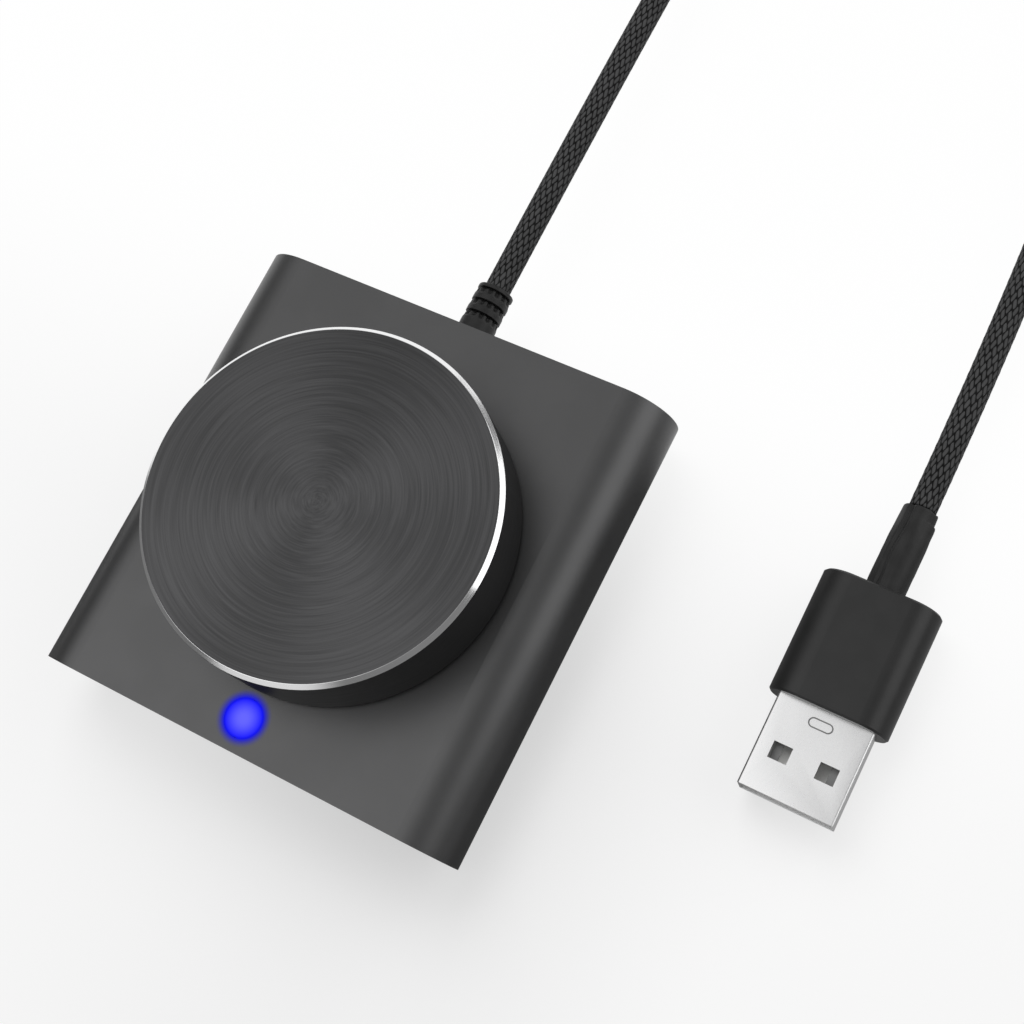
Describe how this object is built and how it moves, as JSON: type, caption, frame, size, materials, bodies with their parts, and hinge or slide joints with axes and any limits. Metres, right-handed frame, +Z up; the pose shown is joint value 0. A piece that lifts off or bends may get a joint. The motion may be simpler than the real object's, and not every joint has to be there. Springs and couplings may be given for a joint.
{
  "type": "usb volume control knob",
  "caption": "Flat square aluminium housing with a large turn-and-push volume knob, a small blue lamp window and a braided cord ending in a USB plug.",
  "frame": {"origin": "under the middle of the housing, on the surface that its feet stand on", "axes": "+Z up along the knob's axis, +Y from the housing's front edge to its cord side, +X to the right when seen from the front"},
  "size_m": [0.0983, 0.1978, 0.0252],
  "materials": {
    "dark_anodised": "satin bead-blasted anodising, dark grey",
    "spun_anodised": "spun top with concentric lines and a bright cut chamfer, dark anodising",
    "plate_anodised": "satin anodised sheet, dark grey",
    "rubber_black": "matte moulded",
    "cord_braid": "black nylon braid over a soft core",
    "board_green": "solder mask",
    "chip_black": "moulded case with tinned leads",
    "can_steel": "plain can",
    "chip_parts_tan": "small moulded chip parts",
    "lamp_white": "white lamp case",
    "window_blue": "clear rod lit blue from below",
    "header_cream": "moulded header",
    "lead_insulation": "thin coloured insulation",
    "moulded_black": "fine moulded texture",
    "moulded_white": "plain moulded",
    "zinc_steel": "bright zinc",
    "turned_brass": "turned",
    "spring_brass": "thin rolled spring strip",
    "shell_nickel": "satin nickel over folded sheet",
    "contact_tin": "tin plate"
  },
  "bodies": {
    "base": {"housing": "dark_anodised", "front_plate": "plate_anodised", "rear_plate": "plate_anodised", "rubber_feet": "rubber_black", "circuit_board": "board_green", "controller_chip": "chip_black", "crystal": "can_steel", "chip_parts": "chip_parts_tan", "lamp": "lamp_white", "light_pipe": "window_blue", "cord_header": "header_cream", "cord_connector": "header_cream", "inner_leads": "lead_insulation", "switch_base": "moulded_black", "switch_dome": "spring_brass", "encoder_case": "moulded_black", "encoder_frame": "zinc_steel", "encoder_pins": "zinc_steel", "encoder_bushing": "turned_brass", "detent_spring": "spring_brass", "bushing_washer": "zinc_steel", "bushing_nut": "zinc_steel", "strain_relief": "rubber_black", "cord_body_run": "cord_braid", "cord_coil": "cord_braid", "cord_plug_run": "cord_braid", "plug_boot": "rubber_black", "plug_overmould": "moulded_black", "plug_shell": "shell_nickel", "plug_tongue": "moulded_white", "plug_contacts": "contact_tin"},
    "push_carrier": {"switch_plunger": "moulded_white"},
    "knob": {"encoder_shaft": "zinc_steel", "knob_cap": "spun_anodised", "knob_insert": "moulded_black"},
    "rotor": {"encoder_rotor": "moulded_white"}
  },
  "joints": [
    {"name": "knob_press", "type": "slide", "parent": "base", "child": "push_carrier", "axis": [0, 0, -1], "range_m": [0, 0.0005], "stiffness_N_per_m": 8000, "springref_m": -0.0002, "deforming": ["switch_dome"]},
    {"name": "knob_turn", "type": "hinge", "parent": "push_carrier", "child": "knob", "pos_m": [0, 0, 0.02], "axis": [0, 0, 1], "continuous": true},
    {"name": "rotor_turn", "type": "hinge", "parent": "base", "child": "rotor", "pos_m": [0, 0, 0.009], "axis": [0, 0, 1], "continuous": true}
  ],
  "couplings": [
    {"joint": "rotor_turn", "follows": "knob_turn", "ratio": 1}
  ]
}
